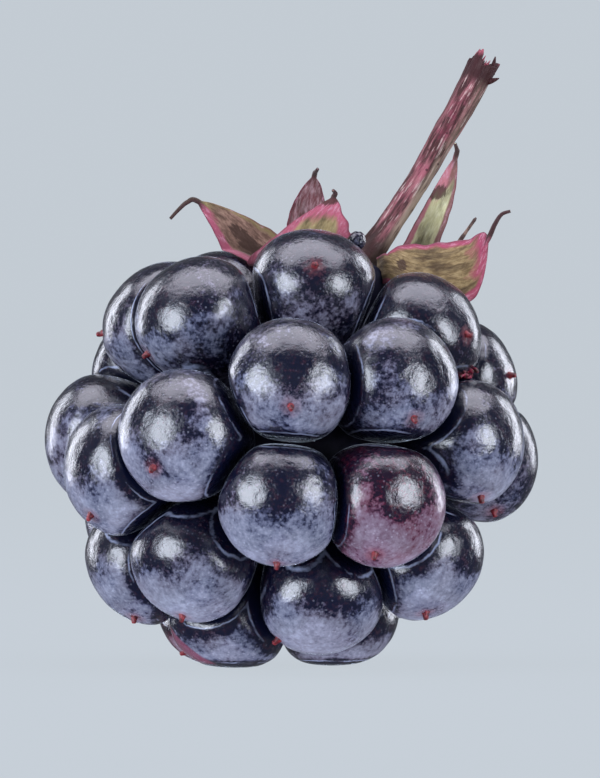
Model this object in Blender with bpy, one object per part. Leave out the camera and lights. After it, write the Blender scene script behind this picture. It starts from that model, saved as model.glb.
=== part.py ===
"""Bramble berry: a ripe wild bramble as picked, standing on its lowest drupelets.

The drupelets sit on a swollen receptacle, which is the inner end of the stem.
Five sepals with dry awns stand round the calyx at the top.
Lengths are in millimetres, measured from the middle of the berry, and turned into
metres by MM. X is to the right, Y to the back and Z up. An azimuth is measured from
the front (-Y) towards +X, and an elevation from the horizontal.
"""
from collections import namedtuple
from math import cos, pi, radians, sin, sqrt

import bmesh
import bpy
from mathutils import Vector

MM = 0.001
CLEARANCE = 0.3                     # gap left between pieces that touch

# The berry: drupelets seated on an ellipsoid, cut flat where they meet the table.
SEAT_RADII = (7.95, 7.8, 7.1)
DRUPELET_ACROSS = 2.55              # half width of a free drupelet
DRUPELET_OUTWARD = 2.1              # from its seat to its outer skin
DRUPELET_INWARD = 3.6               # from its seat to its narrow root
REST_DEPTH = 8.85                   # table below the middle of the berry
DRUPELET_SEGMENTS = 14
DRUPELET_RINGS = 9

# The style stub at the tip end of each drupelet.
STYLE_RADIUS = 0.16
STYLE_LENGTH = 0.34
STYLE_TAPER = 0.7
STYLE_TILT = 48                     # degrees from the outward direction, where there's room
STYLE_STEPS = 7                     # tries from there back towards the outward direction

# The stem: receptacle, neck and calyx cup on the berry's axis, then the pedicel.
CALYX_CENTRE = Vector((2.55, 2.9, 7.05))
RECEPTACLE_ACROSS = 3.5
RECEPTACLE_ALONG = 4.8
NECK_RADIUS = 1.25
CUP_RADIUS = 1.9
PEDICEL_RADIUS = 0.52
PEDICEL = [Vector(point) for point in (
    (3.0, 3.2, 7.75), (3.72, 3.55, 8.6), (4.76, 4.15, 10.2), (5.58, 4.5, 11.5),
    (6.4, 4.8, 12.95), (7.33, 5.1, 14.6), (7.95, 5.35, 15.75))]
STEM_SEGMENTS = 14
RECEPTACLE_STEPS = 16
TORN_DEPTH = 0.22

SEPAL_THICKNESS = 0.3
SEPAL_STEPS = 5                     # rows of faces from one midrib point to the next
SEPAL_ROW = 0.26                    # least distance between two rows
SEPAL_COLUMNS = 4
AWN_HALF_WIDTH = 0.11

FILAMENT_RADIUS = 0.12
FILAMENT_SEGMENTS = 6

Seat = namedtuple("Seat", "azimuth elevation size reach", defaults=(1.0, 1.0))

# Drupelets by ring, from the calyx to the tip of the berry.
RINGS = {
    "crown": [Seat(27, 75), Seat(74, 44, 0.98), Seat(135, 30), Seat(169, 33), Seat(-138, 54),
              Seat(110, 43, 0.7), Seat(-172, 52, 0.76)],
    "shoulder": [Seat(-53, 52), Seat(-89, 48, 1.02), Seat(-124, 27), Seat(-158, 28),
                 Seat(-168, 0), Seat(161, 1), Seat(131, 0), Seat(101, 24, 0.97)],
    "middle": [Seat(0, 25), Seat(37, 25), Seat(67, 3), Seat(102, -4, 1.0, 1.03),
               Seat(147, -26), Seat(178, -28), Seat(-136, -2)],
    "lower": [Seat(-34, 6, 1.06), Seat(-61, -6, 1.04), Seat(-99, 3, 1.05), Seat(-120, -26),
              Seat(-150, -31), Seat(172, -57), Seat(124, -41), Seat(63, -39),
              Seat(30, -17), Seat(-3, -16)],
    "tip": [Seat(17, -57), Seat(-41, -39), Seat(-84, -41, 1.0, 1.02),
            Seat(-56, -68, 0.98, 1.051), Seat(-118, -66, 0.96, 1.07),
            Seat(95, -76, 0.98, 1.009)],
}
RIPENING = ("drupelet_lower_9", "drupelet_tip_5")       # still partly red

# Azimuth and elevation of the styles that don't simply lean towards the berry's tip.
STYLE_WAYS = {
    "drupelet_crown_1": (1, 17), "drupelet_crown_2": (46, -5), "drupelet_shoulder_1": (-76, -40),
    "drupelet_shoulder_2": (-93, -13), "drupelet_shoulder_8": (55, 3), "drupelet_middle_1": (0, -26),
    "drupelet_middle_2": (19, -39), "drupelet_middle_3": (19, -62), "drupelet_middle_4": (12, -54),
    "drupelet_lower_1": (-33, -32), "drupelet_lower_2": (-48, -49), "drupelet_lower_3": (-150, -20),
    "drupelet_lower_7": (150, -45), "drupelet_lower_9": (-18, -54), "drupelet_lower_10": (-19, -78),
    "drupelet_tip_1": (-85, -42), "drupelet_tip_2": (-29, -72), "drupelet_tip_3": (-15, -63),
    "drupelet_tip_4": (-110, -35), "drupelet_tip_6": (140, -35),
}

# One small drupelet beside the calyx never swelled.
UNSWOLLEN_PLACE = Vector((2.7, 0.05, 8.5))
UNSWOLLEN_RADIUS = 0.38

Sepal = namedtuple("Sepal", "spine awn across half_width base_share taper cup")

# Each sepal: the midrib from the calyx to the tip, the awn beyond it, the direction of
# its width, half its greatest width, the share of that at the base, how fully it keeps
# its width towards the tip (1 is a triangle), and how hollow it is.
SEPALS = {
    "sepal_left": Sepal(
        [(0.4, 2.8, 7.5), (-0.9, 2.85, 7.6), (-1.9, 2.75, 8.35), (-2.75, 2.55, 9.25), (-3.85, 2.3, 10.1)],
        [(-4.25, 2.2, 10.05), (-4.6, 2.08, 9.75), (-4.94, 1.95, 9.38)],
        (0.7, 0.25, 0.66), 1.35, 0.85, 2.2, 0.15),
    "sepal_front": Sepal(
        [(0.35, 0.95, 7.95), (0.74, 0.8, 8.65), (1.18, 0.7, 9.5), (1.75, 0.65, 10.3)],
        [(1.8, 0.6, 10.45), (1.72, 0.45, 10.55)],
        (0.9, 0.0, 0.12), 2.2, 1.0, 1.4, 0.06),
    "sepal_back": Sepal(
        [(1.35, 5.1, 7.1), (0.75, 5.4, 8.3), (0.65, 5.4, 9.7), (0.95, 5.1, 11.1)],
        [(1.0, 5.0, 11.25), (1.1, 4.8, 11.4)],
        (0.9, 0.3, 0.0), 1.0, 0.8, 4.0, 0.25),
    "sepal_right": Sepal(
        [(4.0, 1.2, 7.35), (5.0, 1.45, 7.0), (6.3, 1.7, 7.05), (7.45, 1.9, 7.4), (8.1, 2.0, 8.6)],
        [(8.35, 1.92, 9.15), (8.62, 1.86, 9.55), (8.98, 1.8, 9.69)],
        (-0.1, 0.15, 0.95), 1.4, 0.45, 7.0, 0.12),
    "sepal_stem_side": Sepal(
        [(4.1, 4.9, 6.6), (5.0, 5.0, 7.3), (5.65, 4.7, 8.7), (6.3, 4.3, 10.3), (6.8, 3.9, 11.95)],
        [(6.83, 3.8, 12.2), (6.75, 3.65, 12.45)],
        (0.9, -0.4, 0.0), 0.85, 0.85, 3.6, 0.35),
}

# Dried stamen filaments left round the calyx, each a short run of points.
FILAMENTS = {
    "filament_right": [(4.9, 3.5, 6.7), (6.0, 3.8, 7.2), (6.9, 3.7, 8.4), (7.6, 3.2, 9.4)],
    "filament_left": [(0.4, 4.0, 7.6), (-0.4, 4.5, 8.0), (-1.2, 4.6, 8.5), (-1.6, 4.6, 9.2)],
    "filament_back": [(2.65, 5.2, 6.5), (2.9, 6.0, 7.2), (3.0, 6.6, 8.1)],
}


def clear_scene():
    for old in list(bpy.data.objects):
        bpy.data.objects.remove(old, do_unlink=True)


def linear(channel):
    """Turn one sRGB channel, 0 to 255, into linear light."""
    value = channel / 255
    return value / 12.92 if value <= 0.04045 else ((value + 0.055) / 1.055) ** 2.4


def make_material(name, colour, roughness):
    """A plain surface; colour is sRGB, 0 to 255. Nothing on a berry is metallic."""
    material = bpy.data.materials.new(name)
    material.use_nodes = True
    shader = material.node_tree.nodes["Principled BSDF"]
    shader.inputs["Base Color"].default_value = (*[linear(channel) for channel in colour], 1.0)
    shader.inputs["Roughness"].default_value = roughness
    shader.inputs["Metallic"].default_value = 0.0
    return material


def add_object(name, bm, material, parent, place=Vector()):
    """Turn a mesh in millimetres about its own place into a smooth object in metres."""
    bmesh.ops.scale(bm, vec=(MM, MM, MM), verts=bm.verts)
    bmesh.ops.recalc_face_normals(bm, faces=bm.faces)
    mesh = bpy.data.meshes.new(name)
    bm.to_mesh(mesh)
    bm.free()
    mesh.materials.append(material)
    mesh.shade_smooth()
    mesh.set_sharp_from_angle(angle=radians(50))
    piece = bpy.data.objects.new(name, mesh)
    piece.location = place * MM
    piece.parent = parent
    bpy.context.scene.collection.objects.link(piece)
    return piece


def direction(azimuth, elevation):
    azimuth, elevation = radians(azimuth), radians(elevation)
    return Vector((cos(elevation) * sin(azimuth), -cos(elevation) * cos(azimuth), sin(elevation)))


def seat_place(seat):
    outward = direction(seat.azimuth, seat.elevation)
    return Vector(radius * part for radius, part in zip(SEAT_RADII, outward)) * seat.reach


def receptacle_distance(outward, axis):
    """How far the receptacle's surface lies from the middle, measured along outward."""
    along = outward.dot(axis)
    across = sqrt(max(0.0, 1 - along * along))
    return sqrt((RECEPTACLE_ALONG * along) ** 2 + (RECEPTACLE_ACROSS * across) ** 2)


def skin_distance(ray, outward, size):
    """Distance from a seat to the free skin: an ellipsoid with a long, narrow root."""
    along = ray.dot(outward)
    across = sqrt(max(0.0, 1 - along * along))
    depth = DRUPELET_OUTWARD if along > 0 else DRUPELET_INWARD
    return size / sqrt((along / depth) ** 2 + (across / DRUPELET_ACROSS) ** 2)


def walls_round(place, size, outward, axis, neighbours):
    """The flat walls of a drupelet's cell, each as its normal and distance from the seat."""
    walls = []
    for other_place, other_size in neighbours:
        apart = other_place - place
        if apart.length > 3 * DRUPELET_ACROSS:
            continue
        share = DRUPELET_ACROSS ** 2 * (size ** 2 - other_size ** 2) / (2 * apart.length)
        walls.append((apart.normalized(), apart.length / 2 + share - CLEARANCE / 2))
    root = place.dot(outward) - receptacle_distance(outward, axis) - CLEARANCE
    walls.append((-outward, root))
    walls.append((Vector((0, 0, -1)), place.z + REST_DEPTH))
    return walls


def wall_distance(ray, walls):
    """Distance along a ray from the seat to the first wall in its way."""
    return min([distance / ray.dot(normal) for normal, distance in walls if ray.dot(normal) > 0.05],
               default=DRUPELET_INWARD)


def style_way(name, outward, axis, size, walls):
    """The direction of a drupelet's style: its own, or as near to it as the walls allow."""
    downward = (outward * outward.dot(axis) - axis).normalized()
    wish = outward * cos(radians(STYLE_TILT)) + downward * sin(radians(STYLE_TILT))
    if name in STYLE_WAYS:
        wish = direction(*STYLE_WAYS[name])
    for step in range(STYLE_STEPS):
        ray = wish.slerp(outward, step / STYLE_STEPS)
        top = ray * (skin_distance(ray, outward, size) + STYLE_LENGTH)
        if all(top.dot(normal) < distance - STYLE_RADIUS for normal, distance in walls):
            return ray
    return None                     # no room: the stub was pressed off


def add_style(bm, ray):
    """Raise the style stub from the face of the skin that its direction meets."""
    face = max(bm.faces, key=lambda face: face.calc_center_median().normalized().dot(ray))
    centre = face.calc_center_median()
    radius = min(STYLE_RADIUS, *[0.7 * (vertex.co - centre).length for vertex in face.verts])
    bmesh.ops.inset_individual(bm, faces=[face], thickness=radius / 4)
    for vertex in face.verts:
        vertex.co = centre + (vertex.co - centre).normalized() * radius
    tip = bmesh.ops.extrude_discrete_faces(bm, faces=[face])["faces"][0]
    for vertex in tip.verts:
        vertex.co = centre + (vertex.co - centre) * STYLE_TAPER + ray * STYLE_LENGTH


def build_drupelet(name, place, size, axis, neighbours, material, parent):
    outward = place.normalized()
    walls = walls_round(place, size, outward, axis, neighbours)
    bm = bmesh.new()
    bmesh.ops.create_uvsphere(bm, u_segments=DRUPELET_SEGMENTS, v_segments=DRUPELET_RINGS, radius=1)
    turn = Vector((0, 0, 1)).rotation_difference(outward).to_matrix()
    for vertex in bm.verts:
        ray = (turn @ vertex.co).normalized()
        vertex.co = ray * min(skin_distance(ray, outward, size), wall_distance(ray, walls))
    ray = style_way(name, outward, axis, size, walls)
    if ray:
        add_style(bm, ray)
    return add_object(name, bm, material, parent, place)


def smooth_path(points, steps):
    """A smooth curve through the points, as an even number of steps from each to the next."""
    padded = [points[0] * 2 - points[1], *points, points[-1] * 2 - points[-2]]
    path = []
    for before, start, end, after in zip(padded, padded[1:], padded[2:], padded[3:]):
        for step in range(steps):
            t = step / steps
            path.append(0.5 * (2 * start + (end - before) * t
                               + (2 * before - 5 * start + 4 * end - after) * t ** 2
                               + (3 * start - before - 3 * end + after) * t ** 3))
    return [*path, points[-1]]


def spread_out(places, gap):
    """The indices of places that are at least a gap apart, the first and last among them."""
    kept = [0]
    for index, place in enumerate(places):
        if min((place - places[kept[-1]]).length, (place - places[-1]).length) >= gap:
            kept.append(index)
    return [*kept, len(places) - 1]


def tangents(path):
    ahead = [*path[1:], path[-1]]
    behind = [path[0], *path[:-1]]
    return [(end - start).normalized() for start, end in zip(behind, ahead)]


def sweep(stations, segments, torn=0.0):
    """A closed round body through (place, radius) stations, its last rim torn if asked."""
    bm = bmesh.new()
    path = [place for place, _ in stations]
    side = Vector((0, 1, 0))
    rings = []
    for (place, radius), along in zip(stations, tangents(path)):
        side = (side - along * side.dot(along)).normalized()
        other = along.cross(side)
        last = len(rings) == len(stations) - 1
        ring = []
        for corner in range(segments):
            angle = 2 * pi * corner / segments
            rag = torn * (sin(3 * angle) + 0.6 * cos(5 * angle)) if last else 0.0
            offset = (side * cos(angle) + other * sin(angle)) * radius + along * rag
            ring.append(bm.verts.new(place + offset))
        rings.append(ring)
    for lower, upper in zip(rings, rings[1:]):
        for corner in range(segments):
            after = (corner + 1) % segments
            bm.faces.new((lower[corner], lower[after], upper[after], upper[corner]))
    for ring, place in ((rings[0], path[0]), (rings[-1], path[-1])):
        middle = bm.verts.new(place)
        for corner in range(segments):
            bm.faces.new((ring[corner], ring[(corner + 1) % segments], middle))
    return bm


def build_stem(axis, material, parent):
    """Receptacle, neck, calyx cup and pedicel, which grew as one piece."""
    stations = []
    for step in range(1, RECEPTACLE_STEPS):
        along = -RECEPTACLE_ALONG * cos(pi * step / RECEPTACLE_STEPS)
        bulge = RECEPTACLE_ACROSS * sqrt(1 - (along / RECEPTACLE_ALONG) ** 2)
        stations.append((axis * along, max(bulge, NECK_RADIUS)))
    reach = CALYX_CENTRE.length
    for along, radius in ((-2.0, NECK_RADIUS), (-1.1, CUP_RADIUS * 0.8), (-0.4, CUP_RADIUS * 0.95),
                          (0.0, CUP_RADIUS), (0.25, CUP_RADIUS * 0.75), (0.4, PEDICEL_RADIUS * 1.4)):
        stations.append((axis * (reach + along), radius))
    for place in smooth_path(PEDICEL, 2):
        stations.append((place, PEDICEL_RADIUS))
    return add_object("stem", sweep(stations, STEM_SEGMENTS, TORN_DEPTH), material, parent)


def blade_width(share, sepal):
    """Half width of a sepal at a share of its length: ovate, drawn out to a narrow tip."""
    swell = sepal.base_share + (1 - sepal.base_share) * sin(pi * min(share * 1.6, 0.5))
    return max(sepal.half_width * swell * (1 - share ** sepal.taper), AWN_HALF_WIDTH)


def lifted(point, drupelets):
    """Move a point of a sepal off any drupelet that it would run into."""
    margin = CLEARANCE + SEPAL_THICKNESS / 2
    for place, size in drupelets:
        away = point - place
        ray = away.normalized()
        skin = skin_distance(ray, place.normalized(), size) + margin
        if away.length < skin:
            point = place + ray * skin
    return point


def build_sepal(name, sepal, drupelets, material, parent):
    """A bent, hollowed leaf of even thickness, narrowing into its awn."""
    spine = [Vector(point) for point in sepal.spine]
    awn = [Vector(point) for point in sepal.awn]
    across = Vector(sepal.across).normalized()
    tip = SEPAL_STEPS * (len(spine) - 1)
    places = smooth_path(spine + awn, SEPAL_STEPS)
    kept = spread_out(places, SEPAL_ROW)
    path = [places[index] for index in kept]
    bm = bmesh.new()
    rows = []
    for index, place, along in zip(kept, path, tangents(path)):
        if index >= tip:            # the awn bends where it likes, so its width turns with it
            across = (across - along * across.dot(along)).normalized()
        facing = across.cross(along).normalized()
        half = blade_width(min(index / tip, 1.0), sepal)
        row = []
        for column in range(SEPAL_COLUMNS + 1):
            share = 2 * column / SEPAL_COLUMNS - 1
            point = place + across * half * share + facing * sepal.cup * half * share ** 2
            row.append(bm.verts.new(lifted(point, drupelets)))
        rows.append(row)
    for row, after in zip(rows, rows[1:]):
        for column in range(SEPAL_COLUMNS):
            bm.faces.new((row[column], row[column + 1], after[column + 1], after[column]))
    piece = add_object(name, bm, material, parent)
    thicken = piece.modifiers.new("Thickness", "SOLIDIFY")
    thicken.thickness = SEPAL_THICKNESS * MM
    thicken.offset = 0.0
    return piece


def build_filament(name, points, material, parent):
    path = smooth_path([Vector(point) for point in points], 3)
    stations = [(place, FILAMENT_RADIUS) for place in path]
    return add_object(name, sweep(stations, FILAMENT_SEGMENTS), material, parent)


def build_unswollen(material, parent):
    bm = bmesh.new()
    bmesh.ops.create_uvsphere(bm, u_segments=8, v_segments=6, radius=UNSWOLLEN_RADIUS)
    return add_object("drupelet_unswollen", bm, material, parent, UNSWOLLEN_PLACE)


def stand_on_origin(berry):
    """Lift the berry onto the table and centre its box over the origin."""
    bpy.context.view_layer.update()
    graph = bpy.context.evaluated_depsgraph_get()
    corners = []
    for piece in berry.children:
        ready = piece.evaluated_get(graph)
        corners += [ready.matrix_world @ vertex.co for vertex in ready.data.vertices]
    for axis in range(2):
        span = [corner[axis] for corner in corners]
        berry.location[axis] = -(min(span) + max(span)) / 2
    berry.location.z = REST_DEPTH * MM


clear_scene()
ripe_skin = make_material("ripe_skin", (52, 50, 78), 0.3)
ripening_skin = make_material("ripening_skin", (96, 42, 62), 0.3)
stem_bark = make_material("stem_bark", (150, 104, 92), 0.75)
sepal_felt = make_material("sepal_felt", (152, 118, 88), 0.85)
dry_filament = make_material("dry_filament", (92, 60, 46), 0.85)

berry = bpy.data.objects.new("berry", None)
bpy.context.scene.collection.objects.link(berry)

axis = CALYX_CENTRE.normalized()
seats = {f"drupelet_{ring}_{number}": seat
         for ring, group in RINGS.items() for number, seat in enumerate(group, start=1)}
drupelets = {name: (seat_place(seat), seat.size) for name, seat in seats.items()}

for name, (place, size) in drupelets.items():
    neighbours = [drupelet for other, drupelet in drupelets.items() if other != name]
    skin = ripening_skin if name in RIPENING else ripe_skin
    build_drupelet(name, place, size, axis, neighbours, skin, berry)
build_unswollen(ripe_skin, berry)
build_stem(axis, stem_bark, berry)
for name, sepal in SEPALS.items():
    build_sepal(name, sepal, drupelets.values(), sepal_felt, berry)
for name, points in FILAMENTS.items():
    build_filament(name, points, dry_filament, berry)
stand_on_origin(berry)
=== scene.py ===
"""Looks of a ripe bramble berry, resting on its lowest drupelets with its stem up.

The pieces come in the order in which the berry grew: stem, drupelets, calyx, stamens.
Lengths in the tables are in millimetres from the middle of the berry, as in the CAD.
"""
from math import cos, pi, radians, sin, sqrt

import bmesh
import bpy
import numpy as np
from mathutils import Matrix, Vector, noise


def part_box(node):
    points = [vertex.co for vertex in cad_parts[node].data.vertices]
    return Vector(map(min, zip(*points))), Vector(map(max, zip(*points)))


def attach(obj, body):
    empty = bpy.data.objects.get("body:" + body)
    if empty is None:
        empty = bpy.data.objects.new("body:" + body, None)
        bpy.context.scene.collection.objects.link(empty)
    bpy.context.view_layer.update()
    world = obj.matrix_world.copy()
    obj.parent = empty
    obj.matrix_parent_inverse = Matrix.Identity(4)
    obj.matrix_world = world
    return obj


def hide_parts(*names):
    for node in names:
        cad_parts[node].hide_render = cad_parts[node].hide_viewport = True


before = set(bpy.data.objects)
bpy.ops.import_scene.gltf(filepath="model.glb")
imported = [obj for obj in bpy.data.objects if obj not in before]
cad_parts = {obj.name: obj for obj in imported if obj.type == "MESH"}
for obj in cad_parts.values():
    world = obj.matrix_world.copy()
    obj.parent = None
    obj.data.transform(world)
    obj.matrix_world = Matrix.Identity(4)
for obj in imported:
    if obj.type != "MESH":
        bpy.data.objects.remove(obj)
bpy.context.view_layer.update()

# ---------------------------------------------------------------------------
# Stem: the pedicel, torn off at its top, and under it the calyx cup, the neck and the
# receptacle that every drupelet sits on. It is woody plant tissue, grown as one piece,
# with shallow ribs along it and a skin that the sun has turned from tan to pink.
MM = 0.001

# The unswollen drupelet is a ball in the CAD, so its box tells where the middle lies.
UNSWOLLEN_PLACE = Vector((2.7, 0.05, 8.5))
ball_low, ball_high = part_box("drupelet_unswollen")
MIDDLE = (Vector(ball_low) + Vector(ball_high)) / 2 / MM - UNSWOLLEN_PLACE

CALYX_CENTRE = Vector((2.55, 2.9, 7.05))
AXIS = CALYX_CENTRE.normalized()
RECEPTACLE_ACROSS = 3.5
RECEPTACLE_ALONG = 4.8
RECEPTACLE_STEPS = 20
LUMPS = 0.05                    # on the receptacle and the cup
NECK_RADIUS = 1.25
CUP_RADIUS = 1.9
PEDICEL_RADIUS = 0.52
# How far each ring of the cup lies past the calyx's middle, and its radius.
CUP_RINGS = [(-2.0, 1.0 * NECK_RADIUS), (-1.5, 1.05 * NECK_RADIUS), (-1.1, 0.8 * CUP_RADIUS),
             (-0.7, 0.9 * CUP_RADIUS), (-0.4, 0.95 * CUP_RADIUS), (-0.15, CUP_RADIUS),
             (0.0, 0.98 * CUP_RADIUS), (0.14, 0.9 * CUP_RADIUS), (0.25, 0.75 * CUP_RADIUS),
             (0.33, 0.6 * CUP_RADIUS), (0.4, 1.5 * PEDICEL_RADIUS)]
PEDICEL = [(3.0, 3.2, 7.75), (3.72, 3.55, 8.6), (4.76, 4.15, 10.2), (5.58, 4.5, 11.5),
           (6.4, 4.8, 12.95), (7.33, 5.1, 14.6), (7.95, 5.35, 15.75)]
STEM_SEGMENTS = 72
PEDICEL_STEPS = 26              # from each point to the next
FOOT_FLARE = 0.22               # how much wider the pedicel is at its foot
FLARE_LENGTH = 1.4
TOP_FLARE = 0.05                # and towards its top, over TOP_LENGTH from TOP_START on
TOP_START = 7.6
TOP_LENGTH = 1.8
WAIST = 0.07                    # how much narrower it is halfway up, as a share
WAIST_RATE = 0.42               # in radians per millimetre
RIB_FADE = 0.6                  # the ribs and dents start this far up

# The torn end: how ragged, how far down, and rings of the broken pith that sinks inside it.
TORN_DEPTH = 0.22
TORN_LENGTH = 0.7
SPLINTER = 0.26
PITH = [(0.86, 0.0), (0.66, 0.14), (0.4, 0.24), (0.18, 0.3)]
PITH_LUMPS = 0.16
# Fibres that stayed on there: angle round the stem, distance out, length and thickness.
FIBRES = [(0.4, 0.4, 0.2, 0.08), (1.3, 0.44, 0.14, 0.07), (2.0, 0.3, 0.2, 0.09),
          (2.9, 0.42, 0.22, 0.07), (3.6, 0.3, 0.16, 0.08), (4.2, 0.42, 0.12, 0.09),
          (5.2, 0.36, 0.22, 0.08), (5.8, 0.2, 0.2, 0.07)]
# A dried post on the right of the break, and a spur lower down where a bract broke.
POSTS = [((8.25, 5.2, 15.3), (0.25, 0, 0.97), 0.72, 0.16),
         ((8.1, 5.1, 15.0), (0.95, -0.2, 0.2), 0.5, 0.15)]
FIBRE_ROOT = 0.18               # how far a fibre's foot is sunk into the end
TIP_SHADE = 0.5                 # where on the bark their colour comes from, past the end,
POST_SHADE = -0.45              # and where the post's and the spur's does


def srgb(colour):
    """Turn an sRGB hex colour into the linear RGBA that a shader takes."""
    channels = [int(colour[start:start + 2], 16) / 255 for start in (1, 3, 5)]
    return (*[c / 12.92 if c <= 0.04045 else ((c + 0.055) / 1.055) ** 2.4 for c in channels], 1)


def new_material(name):
    """A new material, its node tree and its shader."""
    material = bpy.data.materials.new(name)
    material.use_nodes = True
    return material, material.node_tree, material.node_tree.nodes["Principled BSDF"]


def feed(tree, node, inputs):
    """Set a node's inputs. Each is a value, or the socket that feeds it."""
    for name, value in dict(inputs).items():
        if isinstance(value, bpy.types.NodeSocket):
            tree.links.new(value, node.inputs[name])
        else:
            node.inputs[name].default_value = value


def add(tree, kind, inputs=(), output=0, **settings):
    """Add a node with its settings and links, and return the output that is wanted."""
    node = tree.nodes.new(kind)
    for name, value in settings.items():
        setattr(node, name, value)
    feed(tree, node, inputs)
    return node.outputs[output]


def layered(tree, colour, layers):
    """Lay colours over one another, and return the output that shows them all.

    Each layer is the pattern that draws it, the pattern's values where it starts and where
    it is at its most, how much of it shows there, and its colour.
    """
    for pattern, start, full, most, tint in layers:
        share = add(tree, "ShaderNodeMapRange", {0: pattern, 1: start, 2: full, 4: most})
        below, above = (srgb(c) if isinstance(c, str) else c for c in (colour, tint))
        colour = add(tree, "ShaderNodeMix", {0: share, 6: below, 7: above}, output=2,
                     data_type="RGBA")
    return colour


def dress(tree, shader, bumps, inputs):
    """Give a shader its inputs, and its bumps, each of which adds to the ones before.

    A bump is the pattern that draws it, its strength, and its height in millimetres.
    """
    normals = []
    for pattern, strength, height in bumps:
        below = {"Normal": normals[-1]} if normals else {}
        normals.append(add(tree, "ShaderNodeBump", {"Height": pattern, "Strength": strength,
                                                    "Distance": height * MM, **below}))
    feed(tree, shader, {"Normal": normals[-1], **inputs})
    return normals


def smooth_path(points, steps):
    """A smooth curve through the points, as an even number of steps from each to the next."""
    points = [Vector(point) for point in points]
    padded = [points[0] * 2 - points[1], *points, points[-1] * 2 - points[-2]]
    path = []
    for before, start, end, after in zip(padded, padded[1:], padded[2:], padded[3:]):
        for step in range(steps):
            t = step / steps
            path.append(0.5 * (2 * start + (end - before) * t
                               + (2 * before - 5 * start + 4 * end - after) * t ** 2
                               + (3 * start - before - 3 * end + after) * t ** 3))
    return [*path, points[-1]]


def frames_along(path, side):
    """For each place on a path: the place, its direction, and two directions across it."""
    ahead = [*path[1:], path[-1]]
    behind = [path[0], *path[:-1]]
    frames = []
    for place, start, end in zip(path, behind, ahead):
        along = (end - start).normalized()
        side = (side - along * side.dot(along)).normalized()
        frames.append((place, along, side, along.cross(side)))
    return frames


def spoke(side, other, angle):
    """The direction at an angle round a path, from its two directions across."""
    return side * cos(angle) + other * sin(angle)


def extrude_rings(bm, rings, **attributes):
    """Extrude a circle from ring to ring of points, and close both ends with a fan.

    An attribute has a ring of values for each ring of points.
    """
    layers = [bm.verts.layers.float_vector.new(name) for name in attributes]
    made = bmesh.ops.create_circle(bm, segments=len(rings[0]), radius=1)
    ring = made["verts"]
    edges = list({edge for vertex in ring for edge in vertex.link_edges})
    grown = [ring]
    for _ in rings[1:]:
        made = bmesh.ops.extrude_edge_only(bm, edges=edges)["geom"]
        fresh = {item for item in made if isinstance(item, bmesh.types.BMVert)}
        edges = [item for item in made
                 if isinstance(item, bmesh.types.BMEdge) and fresh.issuperset(item.verts)]
        ring = [next(edge.other_vert(vertex) for edge in vertex.link_edges
                     if edge.other_vert(vertex) in fresh) for vertex in ring]
        grown.append(ring)
    for ring, points in zip(grown, rings):
        for vertex, point in zip(ring, points):
            vertex.co = point
    ends = [bm.faces.new(grown[0]), bm.faces.new(grown[-1])]
    bmesh.ops.poke(bm, faces=ends)
    for layer, rows in zip(layers, attributes.values()):
        for ring, row in zip(grown, rows):
            for vertex, value in zip(ring, row):
                vertex[layer] = value
    return grown


def add_thread(bm, path, side, radii, corners):
    """A bent round thread along a path, with a radius at each of its places."""
    angles = np.linspace(0, 2 * pi, corners, endpoint=False)
    return extrude_rings(bm, [
        [place + spoke(across, other, angle) * radius for angle in angles]
        for (place, _, across, other), radius in zip(frames_along(path, side), radii)])


def add_object(name, bm, materials):
    """Turn a mesh into a smooth object."""
    mesh = bpy.data.meshes.new(name)
    bm.to_mesh(mesh)
    bm.free()
    for material in materials:
        mesh.materials.append(material)
    mesh.shade_smooth()
    made = bpy.data.objects.new(name, mesh)
    bpy.context.scene.collection.objects.link(made)
    return made


def add_piece(name, bm, materials, node):
    """Turn a mesh in millimetres round the middle of the berry into a finished piece.

    It stands for a node of the CAD, unless it is too fine to have one.
    """
    bmesh.ops.recalc_face_normals(bm, faces=bm.faces)
    bmesh.ops.transform(bm, matrix=Matrix.Scale(MM, 4) @ Matrix.Translation(MIDDLE),
                        verts=bm.verts)
    piece = add_object(name, bm, materials)
    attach(piece, "root")
    if node:
        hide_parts(node)


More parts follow.
